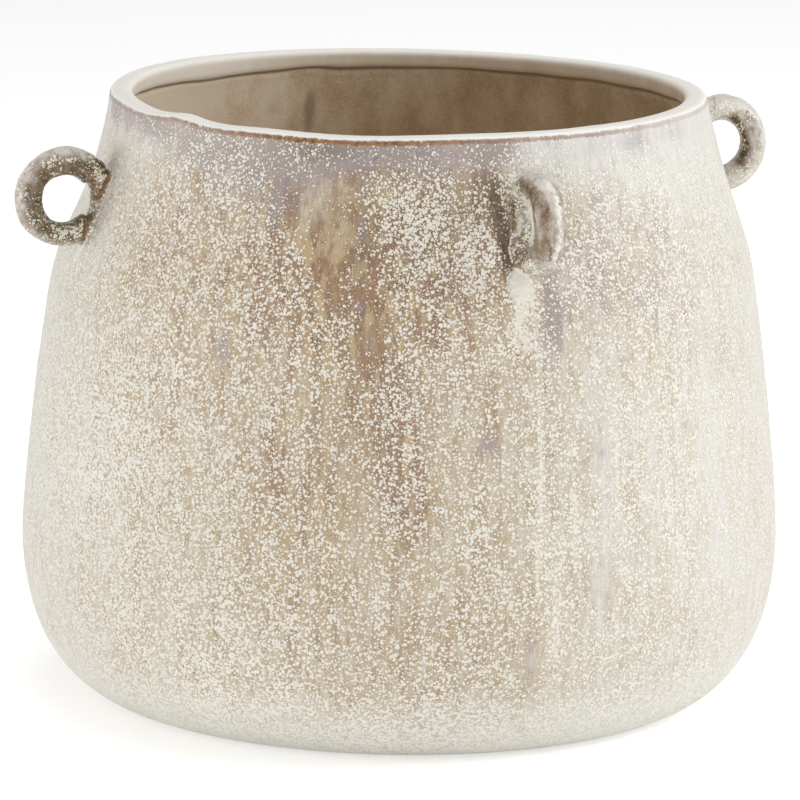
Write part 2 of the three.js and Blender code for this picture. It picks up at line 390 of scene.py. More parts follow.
def outer_face():
    heel = bezier(
        (FOOT_RADIUS, 0.0),
        (FOOT_RADIUS + FOOT_FLARE, 0.0),
        (BELLY_RADIUS, BELLY_HEIGHT - HEEL_ROUND),
        (BELLY_RADIUS, BELLY_HEIGHT),
    )
    side = bezier(
        (BELLY_RADIUS, BELLY_HEIGHT),
        (BELLY_RADIUS, BELLY_HEIGHT + BELLY_RISE),
        (SHOULDER_RADIUS + SHOULDER_LEAN * SHOULDER_RUN, SHOULDER_HEIGHT - SHOULDER_RUN),
        (SHOULDER_RADIUS, SHOULDER_HEIGHT),
    )
    neck = bezier(
        (SHOULDER_RADIUS, SHOULDER_HEIGHT),
        (SHOULDER_RADIUS - SHOULDER_LEAN * NECK_RUN, SHOULDER_HEIGHT + NECK_RUN),
        (RIM_RADIUS + RIM_LEAN * NECK_RUN, HEIGHT - LIP_EDGE - NECK_RUN),
        (RIM_RADIUS, HEIGHT - LIP_EDGE),
    )
    return np.concatenate([heel, side[1:], neck[1:]])


OUTER = outer_face()


def wall_radius(height):
    """The radius of the pot's outside at a height."""
    return np.interp(height, OUTER[:, 1], OUTER[:, 0])


def pot_outline():
    """The rows of the pot's skin as (radius, height), how far along each is, and where the foot is."""
    recess = FOOT_RADIUS - FOOT_WIDTH
    lip_inner = RIM_RADIUS - LIP_WIDTH
    lip_foot = HEIGHT - LIP_FACE
    lip_end = (lip_inner + 0.7, lip_foot - 0.9)
    crown = LIP_EDGE + LIP_CROWN
    lip = np.concatenate([
        bend(OUTER[-1], (RIM_RADIUS, HEIGHT), (RIM_RADIUS - crown, HEIGHT)),
        bend((lip_inner + crown, HEIGHT), (lip_inner, HEIGHT), (lip_inner, HEIGHT - LIP_EDGE)),
        bend((lip_inner, lip_foot + LIP_FOOT_ROUND), (lip_inner, lip_foot), lip_end, 6),
    ])
    inner = offset_line(OUTER, -WALL)
    corner_height = FLOOR + FLOOR_CORNER
    corner_radius = np.interp(corner_height, inner[:, 1], inner[:, 0])
    inside = inner[(inner[:, 1] > corner_height) & (inner[:, 1] < lip_foot - LIP_UNDERCUT)][::-1]
    undercut = bend(lip[-1], (inside[0, 0] - 0.4, lip_foot - LIP_UNDERCUT + 1.0), inside[0])
    floor = bend(
        (corner_radius, corner_height), (corner_radius, FLOOR), (corner_radius - FLOOR_CORNER, FLOOR)
    )
    slope_top = (recess - RECESS_SLOPE, RECESS_DEPTH)
    sections = [
        (np.array([(0.0, RECESS_DEPTH), slope_top]), FLAT_STEP),
        (bend(slope_top, (recess - RECESS_ROUND, RECESS_DEPTH), (recess, 0.0)), SLOPE_STEP),
        (np.array([(recess, 0.0), (FOOT_RADIUS, 0.0)]), FOOT_STEP),
        (OUTER, WALL_STEP),
        (lip, LIP_STEP),
        (undercut, UNDERCUT_STEP),
        (inside, INSIDE_STEP),
        (floor, INSIDE_STEP),
        (np.array([floor[-1], (0.0, FLOOR)]), FLAT_STEP),
    ]
    parts = [resample(line, step)[1:] for line, step in sections]
    parts[0] = resample(*sections[0])
    rows = np.concatenate(parts)
    foot_row = sum(len(part) for part in parts[:3]) - 1
    lip_row = sum(len(part) for part in parts[:4]) - 1
    lengths = lengths_along(rows)
    along = lengths[lip_row] - lengths
    return rows, along, along[foot_row]


def cylinder_points(radius, turn, height):
    angle = np.radians(turn - 90.0)
    height = np.broadcast_to(height, np.broadcast(radius, angle).shape)
    return np.stack([radius * np.cos(angle), radius * np.sin(angle), height], axis=-1)


# How the thrown wall leaves its plain round: the neck leans to one side and is full under the rim.
# Each bulge has its height and half height.
LEAN_TURN = 68.7
LEAN_START = 132.0
LEAN_RISE = 36.0
LEAN_BACK_START = 184.0
LEAN_BACK_RISE = 16.0
NECK_LEAN = 1.35
RIM_LEAN_BACK = 0.55
RIM_FULLNESS = 1.3
FULL_PLACE = (186.0, 15.0)
NECK_WAIST = 0.75
WAIST_PLACE = (160.0, 13.0)
# The potter's turns outside and inside: how far apart, and how deep
THROWN_PITCH = 5.5
THROWN_DEPTH = 0.05
INNER_PITCH = 8.0
INNER_DEPTH = 0.22
# The swell outside each ring and the finger's dent inside it
SWELL = 0.35
DENT = 0.9
DENT_RADIUS = 78.0  # mm across for each radian of turn
# The groove under the lip and the lip's lower edge, by their place along the skin, and where it sags
UNDERCUT_PLACE = -14.6
UNDERCUT_DEPTH = 0.9
LIP_FOOT_PLACE = -14.5
LIP_SAG_TURN = 206.0
LIP_SAG_WIDTH = 22.0
LIP_SAG = 1.6


def wall_drift(turn, height):
    """How far the wall stands outside its plain outline at a turn and a height."""
    rise = clamped((height - LEAN_START) / LEAN_RISE)
    rise = rise * rise * (3.0 - 2.0 * rise)
    back = clamped((height - LEAN_BACK_START) / LEAN_BACK_RISE)
    lean = (NECK_LEAN * rise - RIM_LEAN_BACK * back) * np.cos(np.radians(turn - LEAN_TURN))
    fullness = RIM_FULLNESS * hump(height - FULL_PLACE[0], FULL_PLACE[1])
    return lean + fullness - NECK_WAIST * hump(height - WAIST_PLACE[0], WAIST_PLACE[1])


# How the rim leaves its level: turn, half width in degrees, lift in mm
RIM_WAVES = [
    (-34, 22, -1), (-82, 12, -0.7), (-70, 5.5, 0.7), (-59, 10, -0.75), (10, 60, 0.3), (60, 40, 0.4),
    (140, 35, -0.5), (-140, 30, 0.4),
]

# Where the glaze changes, from the photograph, and guessed at the back; some spots paint light and shade:
# turn, height, half width in degrees, half height in mm, amount
GLAZE = {}
# The spots at turns -4.5 and -5 keep dots off the strip left of the front ring, its painted shadow
GLAZE["cover"] = [
    (-17, 173, 12, 13, 0.26), (-26, 183, 6, 7, 0.2), (-9.5, 160, 6, 12, 0.28), (-37, 184, 10, 8, -0.4),
    (-35.4, 174, 7.5, 9, -0.48), (-33.6, 164, 5, 8, -0.45), (-32, 156, 3, 6, -0.3),
    (-45, 196, 45, 9, 0.24), (-64, 95, 28, 90, 0.1), (-4.5, 174, 1.5, 15, -0.55), (-5, 160, 3, 9, -0.3),
    (3.6, 146, 2.6, 19, -0.22), (-43, 179, 4.5, 11, -0.25), (-27.5, 152, 3.5, 24, -0.25),
    (3.5, 188, 6, 8, 0.45), (-36, 144, 6, 12, -0.12), (-8, 106, 2.2, 7, -0.4), (10, 102, 2, 6, -0.4),
    (-50, 133, 2.2, 8, -0.4), (9, 57, 2.6, 9, -0.35), (-1.4, 40, 1.5, 14, -0.4),
    (-26.5, 141, 2.2, 8, -0.3), (-73, 88, 14, 30, 0.3), (-92, 90, 18, 70, 0.2), (-50, 40, 20, 26, 0.14),
    (-34, 100, 9, 25, -0.1), (170, 168, 14, 13, 0.4), (205, 172, 5, 13, -0.7), (130, 80, 16, 35, 0.25),
    (235, 60, 25, 40, 0.15),
]
# The spot at turn -4.6 darkens the strip left of the front ring: painted shadow, with glaze pooled there
GLAZE["warm"] = [
    (-26, 105, 30, 160, 0.38), (-64, 130, 26, 100, 0.36), (-55, 45, 30, 45, 0.12), (8, 40, 30, 50, 0.08),
    (-3, 110, 10, 95, 0.14), (-28, 152, 11, 24, 0.25), (-22, 166, 24, 36, 0.2),
    (-28.5, 168, 2.2, 18, 0.55), (-26, 136, 5.5, 26, 0.75), (-23.5, 114, 4, 20, 0.35),
    (-20.5, 92, 4, 18, 0.5), (-30, 180, 62, 28, 0.14), (-36, 155, 5, 12, 0.2), (-38, 178, 4, 16, -0.22),
    (-32, 166, 2, 13, -0.34), (-36, 161, 1.6, 7, 0.15), (-35, 174, 6, 16, -0.03), (-5, 187, 5, 7, 0.18),
    (4.5, 193, 7, 10, -0.3), (-80, 188, 12, 10, -0.2), (-36, 144, 5, 12, 0.18), (-65, 197, 8, 7, 0.25),
    # The spot at turn 27 darkens the upper right a little: painted shade against the key lamp's glare
    (27, 145, 24, 36, 0.07), (-43, 177, 3.5, 12, 0.18), (-46, 185, 8, 8, 0.18), (-32, 198, 40, 9, 0.22),
    (-4.6, 170, 1.8, 18, 0.6), (-15, 156, 12, 20, 0.16), (30, 197, 46, 17, -0.26), (34, 180, 30, 20, -0.1),
    (20, 158, 18, 34, 0.2), (-35, 88, 9, 30, 0.12), (-18, 140, 9, 22, 0.12), (-12, 50, 12, 30, 0.12),
    (-45, 155, 9, 22, 0.15), (-18, 181, 3, 5, 0.4), (-7, 172, 4, 14, 0.4), (8, 165, 14, 30, 0.12),
    (40, 126, 6, 12, 0.16), (154, 105, 28, 120, 0.25), (152, 145, 10, 32, 0.35), (204, 110, 14, 55, 0.3),
    (225, 120, 12, 40, 0.15), (110, 110, 10, 40, 0.1),
]
GLAZE["lilac"] = [
    (3.6, 146, 2.4, 18, 0.42), (-37, 184, 9, 12, 0.42), (6.5, 166, 2.4, 12, 0.55), (22, 158, 36, 48, 0.5),
    (-56, 186, 22, 14, 0.45), (-20, 196, 20, 8, 0.3), (-31, 196, 13, 7, 0.45), (-58, 155, 24, 45, 0.25),
    (-14, 178, 13, 15, 0.32), (12, 150, 3, 22, 0.35), (1.6, 100, 1.2, 42, 0.45), (6, 50, 1.5, 30, 0.4),
    (-44.3, 176, 2.2, 9, 0.65), (-49, 183, 2, 7, 0.45), (-28, 147, 1.6, 4, 0.8), (-26, 137, 1.6, 4, 0.8),
    (-50, 133, 1.8, 7, 0.95), (-8, 106, 1.9, 6, 1), (10, 102, 1.6, 5, 0.85), (9, 57, 2.2, 8, 0.75),
    (-1.4, 40, 1.2, 13, 0.8), (2.5, 145, 2.2, 14, 0.6), (-20, 166, 2.5, 6, 0.6),
    (-28.5, 172, 1.8, 15, 0.6), (15, 178, 1.8, 10, 0.4), (5, 197, 8, 9, -0.5), (125, 150, 3, 20, 0.5),
    (183, 130, 2, 12, 0.7), (215, 160, 3, 12, 0.6),
]
GLAZE["pool"] = [
    (-2.3, 155.5, 3.6, 7.5, 0.95), (-2.5, 144, 3.9, 18, 0.95), (0.2, 100, 1, 50, 0.95),
    (-1, 66, 0.9, 30, 0.8), (1.9, 50, 1.6, 46, 0.9), (5.4, 78, 1.2, 36, 0.9), (13, 96, 1.5, 46, 0.8),
    (23, 84, 1.5, 50, 0.75), (-23.5, 70, 0.8, 30, 0.5), (-91, 151, 2.6, 9, 1), (89, 152, 2.5, 12, 0.9),
    (174, 150, 2.5, 15, 0.9), (179, 90, 1, 50, 0.45),
]
# The first two spots: the dark strip left of the front ring, its painted shadow with glaze pooled there
GLAZE["dark"] = [
    (-4.5, 175, 1.7, 14, 1), (-4, 162, 1.7, 9, 0.9), (-6, 187, 5, 8, 0.5), (-28.3, 172, 1.8, 22, 0.35),
    (-27, 195, 24, 9, 0.75), (-62, 195, 22, 8, 0.5), (-90, 195, 12, 8, 0.4), (-16, 174, 13, 14, 0.62),
    (-42, 178, 2.5, 8, 0.3), (-89, 166, 4, 12, 0.5), (88, 170, 3.5, 14, 0.4), (171, 172, 3.5, 14, 0.6),
    (160, 190, 20, 7, 0.35),
]
GLAZE["stain_and_shade"] = [
    (-3.4, 160, 1.6, 5, 0.75), (-26, 193, 4, 4, 0.38), (1.3, 118, 0.8, 46, 0.62), (-1.2, 50, 0.6, 22, 0.6),
    (-28.3, 168, 1.8, 26, 0.42), (-36, 160, 1.2, 6, 0.35), (-86.5, 158, 2, 8, 0.45),
    # Next three: painted shade in the dent inside the back wall; they darken the wall outside there too
    (178.6, 181, 1.6, 5, 1.1), (178.2, 174, 1.5, 6, 0.8), (187, 180, 3.5, 5, 0.45),
    (-88, 176, 1.5, 5, 0.6),
]
# Painted light: the inside and inner lip paler on the back-left, whose inner face looks to the key lamp
GLAZE["painted_light"] = [
    (238, 170, 62, 200, 1),
]
# Cream dots made dimmer on the left side and at the back-left
GLAZE["dimmed_dots"] = [
    (-60, 75, 36, 110, 0.7), (-60, 165, 30, 42, 0.35), (205, 80, 36, 110, 0.5),
]
GLAZE["rust"] = [
    (-34, 199, 38, 8, 1), (15, 199, 22, 8, 0.42), (60, 199, 30, 8, 0.25), (-95, 199, 20, 8, 0.3),
    (150, 199, 60, 8, 0.6), (230, 199, 30, 8, 0.4),
]


def rim_lift(turn):
    return sum(lift * hump(turn_gap(turn, centre), width) for centre, width, lift in RIM_WAVES)


def glaze_fields(points):
    """The glaze's fields at points of the skin, drawn out downwards as the glaze ran."""
    turn = np.degrees(np.arctan2(points[..., 1], points[..., 0])) + 90.0
    height = points[..., 2]
    drawn = points * np.array([1.0, 1.0, 0.12])
    broad = noise(drawn, 11.0, 61)
    narrow = noise(drawn, 3.5, 62)
    wander = 2.2 * broad + 0.9 * narrow
    slip = 7.0 * noise(points * np.array([1.0, 1.0, 0.3]), 9.0, 63)
    fields = {}
    for name, spots in GLAZE.items():
        total = np.zeros(points.shape[:-1])
        loose = 0.25 if name in ("pool", "lilac", "dark", "stain_and_shade") else 0.5
        for centre, level, width, reach, amount in spots:
            across = hump(turn_gap(turn + loose * wander, centre), width)
            total += amount * across * hump(height + loose * slip - level, reach)
        fields[name] = total
    rim_band = clamped((height - 181.0) / 13.0) ** 1.5
    # Paler with more cream dots towards the foot: painted light for the floor's bounce, and creamier glaze
    low = clamped((26.0 - height) / 20.0)
    fields["cover"] += 0.58 + 0.08 * broad - 0.33 * rim_band + 0.42 * low
    fields["warm"] += 0.13 + 0.07 * broad + 0.05 * narrow - 0.28 * low
    fields["warm"] = np.minimum(fields["warm"], 0.80)
    film = 0.95 * rim_band * (0.8 + 0.4 * broad)
    fields["lilac"] += film * (1.0 - 0.45 * hump(turn_gap(turn, 40.0), 45.0)) - 0.05
    return fields


def pot_relief(rows, along, turns):
    """How far each point of the skin stands off the plain outline, along its normal."""
    grid = cylinder_points(rows[:, :1], turns[None, :], rows[:, 1:])
    turn = np.broadcast_to(turns[None, :], grid.shape[:2])
    height = np.broadcast_to(rows[:, 1:], grid.shape[:2])
    outside = clamped((along + 2.0) / 8.0)[:, None]
    inside = clamped((-along - 14.0) / 8.0)[:, None]
    standing = clamped(height / 12.0)

    lumps = 0.30 * noise(grid, 46.0, 1) + 0.10 * noise(grid, 15.0, 2)
    spiral = height + turn / 360.0 * THROWN_PITCH
    lines = THROWN_DEPTH * np.sin(2 * pi * spiral / THROWN_PITCH) * (0.5 + 0.5 * noise(grid, 60.0, 3))
    spiral = height + turn / 360.0 * INNER_PITCH
    inner_lines = INNER_DEPTH * np.sin(2 * pi * spiral / INNER_PITCH) * (0.6 + 0.4 * noise(grid, 50.0, 4))
    relief = outside * standing * (lumps + lines) + inside * (0.5 * lumps + inner_lines)

    for ring in RINGS.values():
        across = np.radians(turn_gap(turn, ring["turn"])) * DENT_RADIUS
        level = height - (HEIGHT - ring["drop"])
        swell = np.exp(-(across / 8.0) ** 2 - ((level + 3.0) / 14.0) ** 2)
        dent = np.exp(-(across / 9.0) ** 2 - ((level - 4.0) / 9.0) ** 2)
        relief += outside * SWELL * swell - inside * DENT * dent
    lip = np.exp(-((along + 6.0) / 7.0) ** 2)[:, None]
    relief += lip * 0.12 * noise(grid, 14.0, 5)
    relief -= UNDERCUT_DEPTH * hump(along - UNDERCUT_PLACE, 1.4)[:, None]
    return relief, grid, turn, height


def grid_faces(rows, columns, first=0):
    """The faces between rows of points that close on themselves."""
    def at(row, column):
        return first + row * columns + column % columns

    return [
        (at(row, column), at(row, column + 1), at(row + 1, column + 1), at(row + 1, column))
        for row in range(rows - 1)
        for column in range(columns)
    ]


def new_object(name, vertices, faces, materials=(), smooth=True):
    mesh = bpy.data.meshes.new(name)
    mesh.from_pydata((np.asarray(vertices) * MM).tolist(), [], faces)
    for material in materials:
        mesh.materials.append(material)
    if smooth:
        mesh.shade_smooth()
    piece = bpy.data.objects.new(name, mesh)
    bpy.context.scene.collection.objects.link(piece)
    return piece


def set_fields(mesh, fields):
    for name, values in fields.items():
        attribute = mesh.attributes.new(name, "FLOAT", "POINT")
        attribute.data.foreach_set("value", np.asarray(values, np.float32))


def make_pot(material):
    rows, along, _ = pot_outline()
    turns = np.arange(COLUMNS) * 360.0 / COLUMNS - 180.0
    relief, grid, turn, height = pot_relief(rows, along, turns)

    tangent = directions(rows)
    radial = tangent[:, 1:]
    upward = -tangent[:, :1]
    lift = rim_lift(turn) * clamped((height - 120.0) / 80.0) ** 2
    lip_edge = np.exp(-((along + 16.5) / 3.0) ** 2)[:, None] * 0.7 * noise(grid, 13.0, 6)
    sag = LIP_SAG * hump(turn_gap(turn, LIP_SAG_TURN), LIP_SAG_WIDTH)
    lip_edge -= np.exp(-((along - LIP_FOOT_PLACE) / 3.2) ** 2)[:, None] * sag
    drift = wall_drift(turn, height) * clamped(rows[:, :1] / 60.0)
    radius = rows[:, :1] + relief * radial + drift
    points = cylinder_points(radius, turn, height + relief * upward + lift + lip_edge)
    points[0] = points[0].mean(axis=0)
    points[-1] = points[-1].mean(axis=0)

    vertices = [points[0, 0]] + list(points[1:-1].reshape(-1, 3)) + [points[-1, 0]]
    last = len(vertices) - 1
    ring = [(c, (c + 1) % COLUMNS) for c in range(COLUMNS)]
    faces = [(0, 1 + after, 1 + c) for c, after in ring]
    faces += grid_faces(len(rows) - 2, COLUMNS, 1)
    faces += [(last - COLUMNS + c, last - COLUMNS + after, last) for c, after in ring]
    pot = new_object("pot_glazed_body", vertices, faces, [material])
    spread = np.concatenate([along[:1], np.repeat(along[1:-1], COLUMNS), along[-1:]])
    set_fields(pot.data, {"along": spread, **glaze_fields(np.array(vertices))})
    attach(pot, "root")
    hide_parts("pot_body")


def ring_place(ring):
    """A ring's middle and its outward, sideways and upward directions."""
    height = HEIGHT - ring["drop"]
    angle = radians(ring["turn"])
    outward = np.array([sin(angle), -cos(angle), 0.0])
    upward = np.array([0.0, 0.0, 1.0])
    middle = outward * (wall_radius(height) + RING_STANDOFF + ring["stand"]) + upward * height
    return middle, outward, np.cross(upward, outward), upward


def sweep(path, in_plane, across, rounding=1.0, sides=20):
    """A closed bar along a path of (out, side, up) points, with its half thicknesses and rounded ends."""
    path = np.asarray(path, float)
    lengths = lengths_along(path)
    ends = np.minimum(lengths, lengths[-1] - lengths) / np.minimum(in_plane, across) / rounding
    round_off = np.sqrt(1.0 - (1.0 - clamped(ends)) ** 2).clip(0.02, 1.0)
    along = directions(path)
    side = np.array([0.0, 1.0, 0.0])
    normal = np.cross(side, along)
    normal /= np.linalg.norm(normal, axis=1)[:, None]
    across_way = np.cross(along, normal)
    angle = np.arange(sides) * 2 * pi / sides
    rings = path[:, None] + round_off[:, None, None] * (
        (in_plane[:, None] * np.cos(angle))[..., None] * normal[:, None]
        + (across[:, None] * np.sin(angle))[..., None] * across_way[:, None]
    )
    count = len(path) * sides
    ends = [tuple(range(sides))[::-1], tuple(range(count - sides, count))]
    return rings.reshape(-1, 3), grid_faces(len(path), sides) + ends


def ring_parts(ring):
    """The rolled coil and the pad that holds it to the wall, in the ring's own directions."""
    middle = ring_place(ring)[0]
    reach = np.hypot(middle[0], middle[1])

    def wall_at(up):
        return wall_radius(middle[2] + up) + wall_drift(ring["turn"], middle[2] + up) - reach

    turn = np.radians(np.linspace(COIL_START, COIL_END, 90))
    wobble = 0.35 * np.sin(turn * 2.0 + ring["seed"]) + 0.2 * np.sin(turn * 5.0 + ring["seed"] * 2)
    radius = RING_RADIUS + 0.25 * wobble
    slip = ring["slip"] * clamped(np.cos(turn) + 0.3)
    coil = np.stack([radius * np.cos(turn), slip + 0.3 * wobble, radius * np.sin(turn)], axis=1)
    onward = np.array([sin(turn[-1]), 0.0, -cos(turn[-1])])
    coil = np.concatenate([coil, coil[-1] + np.linspace(0.4, COIL_END_REACH, 10)[:, None] * onward])
    turn = np.concatenate([turn, np.full(10, turn[-1])])
    thick = (COIL_THICKNESS / 2 + 0.15) * (1.0 + 0.03 * np.sin(turn * 3.0 + ring["seed"]))
    thick = thick + ring["heavy"] * np.sin(turn)
    wide = (COIL_WIDTH / 2 + 0.15 + ring["girth"]) * (1.0 + 0.03 * np.cos(turn * 4.0 + ring["seed"]))
    parts = [sweep(coil, thick, wide, 0.35)]

    def pad_thickness(up):
        return np.clip(ring["face"] - wall_at(up) - 0.3, PAD_LEAST, PAD_MOST)

    taper = np.linspace(0.0, 1.0, 30)
    root = bend(ROOT_START, ROOT_BEND, (wall_at(ROOT_FOOT_UP) + 1.0, 0.0, ROOT_FOOT_UP), 30)
    parts.append(sweep(root, 4.25 - 0.6 * taper, 4.6 - 0.2 * taper))
    tip = ring["tip"]
    tail = bend(TAIL_START, TAIL_BEND, (wall_at(tip) + pad_thickness(tip) * 0.7, -0.8, tip), 30)
    parts.append(sweep(tail, 4.0 - 2.6 * taper, 4.4 - 2.2 * taper))

    up = np.linspace(PAD_TOP, PAD_FOOT, 50)
    mid = 1.0 - ((up + 2.0) / 15.0) ** 2
    pad = np.stack([wall_at(up) + 0.3, ring["aside"] + 0.3 * np.sin(up / 4.0), up], axis=1)
    parts.append(sweep(pad, pad_thickness(up) * (0.75 + 0.25 * mid), ring["lay"] + 0.5 * mid))
    skirt_up = np.linspace(SKIRT_TOP, SKIRT_FOOT, 60)
    skirt_side = ring["aside"] + 0.4 * np.sin(skirt_up / 3.0)
    skirt = np.stack([wall_at(skirt_up) - 0.6, skirt_side, skirt_up], axis=1)
    parts.append(sweep(skirt, np.full(60, SKIRT_THICKNESS), np.full(60, ring["skirt"])))
    return parts, wall_at


def read_all(items, name, width, kind=float):
    """A vector of each item of a mesh, as the rows of an array."""
    values = np.empty(len(items) * width, kind)
    items.foreach_get(name, values)
    return values.reshape(-1, width)


def joined_ring(name, ring):
    """The ring's parts made one skin, softened as a thick glaze softens them."""
    parts, wall_at = ring_parts(ring)
    vertices = []
    faces = []
    for points, polygons in parts:
        faces += [tuple(index + len(vertices) for index in polygon) for polygon in polygons]
        vertices += points.tolist()
    rough = new_object(name + "_rough", vertices, faces)
    remesh = rough.modifiers.new("join", "REMESH")
    remesh.mode = "VOXEL"
    remesh.voxel_size = RING_VOXEL * MM
    soften = rough.modifiers.new("soften", "SMOOTH")
    soften.factor = 0.5
    soften.iterations = RING_SMOOTHING
    bpy.context.view_layer.update()
    shown = rough.evaluated_get(bpy.context.evaluated_depsgraph_get())
    mesh = bpy.data.meshes.new_from_object(shown)
    bpy.data.objects.remove(rough)
    points = read_all(mesh.vertices, "co", 3) / MM
    normals = read_all(mesh.vertices, "normal", 3)
    edges = read_all(mesh.edges, "vertices", 2, np.int64)
    polygons = [tuple(polygon.vertices) for polygon in mesh.polygons]
    bpy.data.meshes.remove(mesh)
    return points, normals, edges, polygons, wall_at


def hollows(points, normals, edges, rounds=6):
    """How far each point lies under the level of its neighbourhood."""
    level = points.copy()
    counts = np.bincount(edges.ravel(), minlength=len(points)).clip(1)
    for _ in range(rounds):
        total = np.zeros_like(level)
        np.add.at(total, edges[:, 0], level[edges[:, 1]])
        np.add.at(total, edges[:, 1], level[edges[:, 0]])
        level = 0.5 * level + 0.5 * total / counts[:, None]
    return np.einsum("ij,ij->i", level - points, normals)


def laid_on(points, path):
    """A path brought onto the nearest points of a skin, in short steps."""
    path = np.array(path, float)
    lengths = lengths_along(path)
    steps = at_lengths(path, lengths, max(1, int(lengths[-1] / MARK_STEP)) + 1)
    nearest = [np.argmin(np.linalg.norm(points - step, axis=1)) for step in steps]
    return points[nearest]


def path_distance(points, path):
    """How far each point is from a path's steps."""
    return np.min([np.linalg.norm(points - step, axis=1) for step in laid_on(points, path)], axis=0)


def mark_amounts(points, marks):
    """The marks' amounts at each point; each mark is met again, weaker, on the ring's other side."""
    kinds = ("groove", "ridge", "rust", "brown", "pale", "dots", "bare", "cream")
    amounts = {kind: np.zeros(len(points)) for kind in kinds}
    for kind, half_width, amount, path in marks:
        for side, strength, higher in ((1.0, 1.0, 0.0), (-1.0, MIRRORED, MIRRORED_RISE)):
            placed = [(out, side * across, up + higher) for out, across, up in path]
            near = strength * amount * hump(path_distance(points, placed), half_width)
            amounts[kind] = np.maximum(amounts[kind], near)
    return amounts


def make_ring(name, node_name, ring, marks, material):
    points, normals, edges, polygons, wall_at = joined_ring(name, ring)
    seed = ring["seed"]
    mark = mark_amounts(points, marks)
    hollow = hollows(points, normals, edges)
    lumps = 0.22 * noise(points, 6.0, seed) + 0.10 * noise(points, 2.2, seed + 1)
    points = points + normals * lumps[:, None]
    points = points + normals * (mark["ridge"] - mark["groove"])[:, None]
    out, side, up = points.T
    gap = out - wall_at(up)
    out = out + np.clip(-1.0 - gap, 0.0, None)
    points = np.stack([out, side, up], axis=1)

    middle, outward, sideways, upward = ring_place(ring)
    placed = middle + out[:, None] * outward + side[:, None] * sideways + up[:, None] * upward
    piece = new_object(name, placed, polygons, [material])
    fields = glaze_fields(placed)
    inner = (RING_RADIUS - np.hypot(out, up)) / (COIL_THICKNESS / 2)
    near = np.exp(-(gap.clip(0.0) / 0.5) ** 2)
    patch = noise(points, 4.5, seed + 2)
    patch_fine = noise(points, 1.8, seed + 3)
    clump = noise(points, 5.0, seed + 4)
    padding = clamped((-6.0 - out) / 3.0)
    shaded = clamped((inner + 0.85) / 0.75)
    shaded = shaded * shaded * (3.0 - 2.0 * shaded)
    # The coil's top is paler with fewer dots: thinner glaze there, and a painted highlight
    crown = hump(np.degrees(np.arctan2(up, out)) - 90.0, 60.0) * clamped(1.0 - inner)
    tone = ring["shade"] * (0.22 + 0.62 * shaded - 0.12 * crown) * (1.0 - padding) + 0.52 * padding
    tone += 0.10 * patch + 0.16 * patch_fine + mark["brown"] - mark["pale"]
    # Darker in the ring's hollows: painted shade, with the darker glaze that gathers there
    tone += 0.5 * clamped(hollow / 0.25)
    cover = 0.42 + 0.34 * clump + 0.14 * hump(up - 12.0, 6.0) + 0.14 * hump(up + 11.0, 6.0)
    cover += 0.22 * hump(inner + 0.3, 0.35) + 0.20 * padding - 0.25 * crown
    cover += mark["dots"] - 1.5 * mark["groove"] - 0.9 * mark["rust"]
    cover -= 0.4 * mark["brown"] + mark["bare"]
    far = 1.0 - near
    grooved = clamped(2.0 * mark["groove"])
    lilac = 0.12 * patch + 0.22 * (1.0 - shaded) - 0.06
    pool = 0.45 * clamped(-hollow / 0.3)
    # Dark in hollows and along grooves (painted shade with darker glaze), in rust marks and on the inner
    # face
    stain_and_shade = 0.8 * clamped(hollow / 0.3) + 0.40 * hump(inner - 0.35, 0.3) * (0.4 + patch)
    stain_and_shade += mark["rust"] + np.clip(1.4 * mark["groove"], 0.0, 1.1)
    stain_and_shade += 0.45 * hump(inner - 0.2, 0.5) * clamped(2.0 * patch) * ring["shade"]
    set_fields(piece.data, {
        "along": np.full(len(placed), RING_ALONG),
        "dark": np.maximum(near * fields["dark"] + 1.0 - near, grooved),
        "cover": near * fields["cover"] + far * cover,
        "warm": near * fields["warm"] + far * tone,
        "lilac": near * fields["lilac"] + far * lilac,
        "pool": near * fields["pool"] + pool * far + mark["cream"],
        "rust": np.zeros(len(placed)),
        "painted_light": np.zeros(len(placed)),
        "dimmed_dots": near * fields["dimmed_dots"],
        "stain_and_shade": near * fields["stain_and_shade"] + stain_and_shade,
    })
    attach(piece, "root")
    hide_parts(node_name)


def plug(tree, socket, value):
    """Links a socket to another one, or gives it a number or a colour."""
    if isinstance(value, bpy.types.NodeSocket):
        tree.links.new(value, socket)
    elif socket.type == "RGBA":
        socket.default_value = (*value, 1.0)
    else:
        socket.default_value = value


def node(tree, kind, sockets=None, **settings):
    made = tree.nodes.new("ShaderNode" + kind)
    for name, value in settings.items():
        setattr(made, name, value)
    for name, value in (sockets or {}).items():
        plug(tree, made.inputs[name], value)
    return made


def maths(tree, operation, *values, clamp=False):
    made = node(tree, "Math", dict(enumerate(values)), operation=operation, use_clamp=clamp)
    return made.outputs[0]


def blend(tree, factor, first, second, mode="MIX"):
    sockets = {0: factor, 6: first, 7: second}
    return node(tree, "Mix", sockets, data_type="RGBA", blend_type=mode).outputs[2]


def ease(tree, value, low, high, start=0.0, end=1.0):
    """A smooth step of a value from low to high."""
    sockets = {"Value": value, "From Min": low, "From Max": high, "To Min": start, "To Max": end}
    return node(tree, "MapRange", sockets, interpolation_type="SMOOTHSTEP").outputs[0]


def grain(tree, place, size, detail=2.0, rough=0.5):
    """Noise from about 0.3 to 0.7 in lumps of a size in mm."""
    sockets = {"Vector": place, "Scale": 1.0 / size, "Detail": detail, "Roughness": rough}
    return node(tree, "TexNoise", sockets).outputs[0]


def field(tree, name):
    return node(tree, "Attribute", attribute_name=name).outputs["Fac"]


def upright(tree, place, share):
    """Places with their height cut to a share, so that a pattern there is drawn out upwards."""
    return node(tree, "VectorMath", {0: place, 1: (1.0, 1.0, share)}, operation="MULTIPLY").outputs[0]


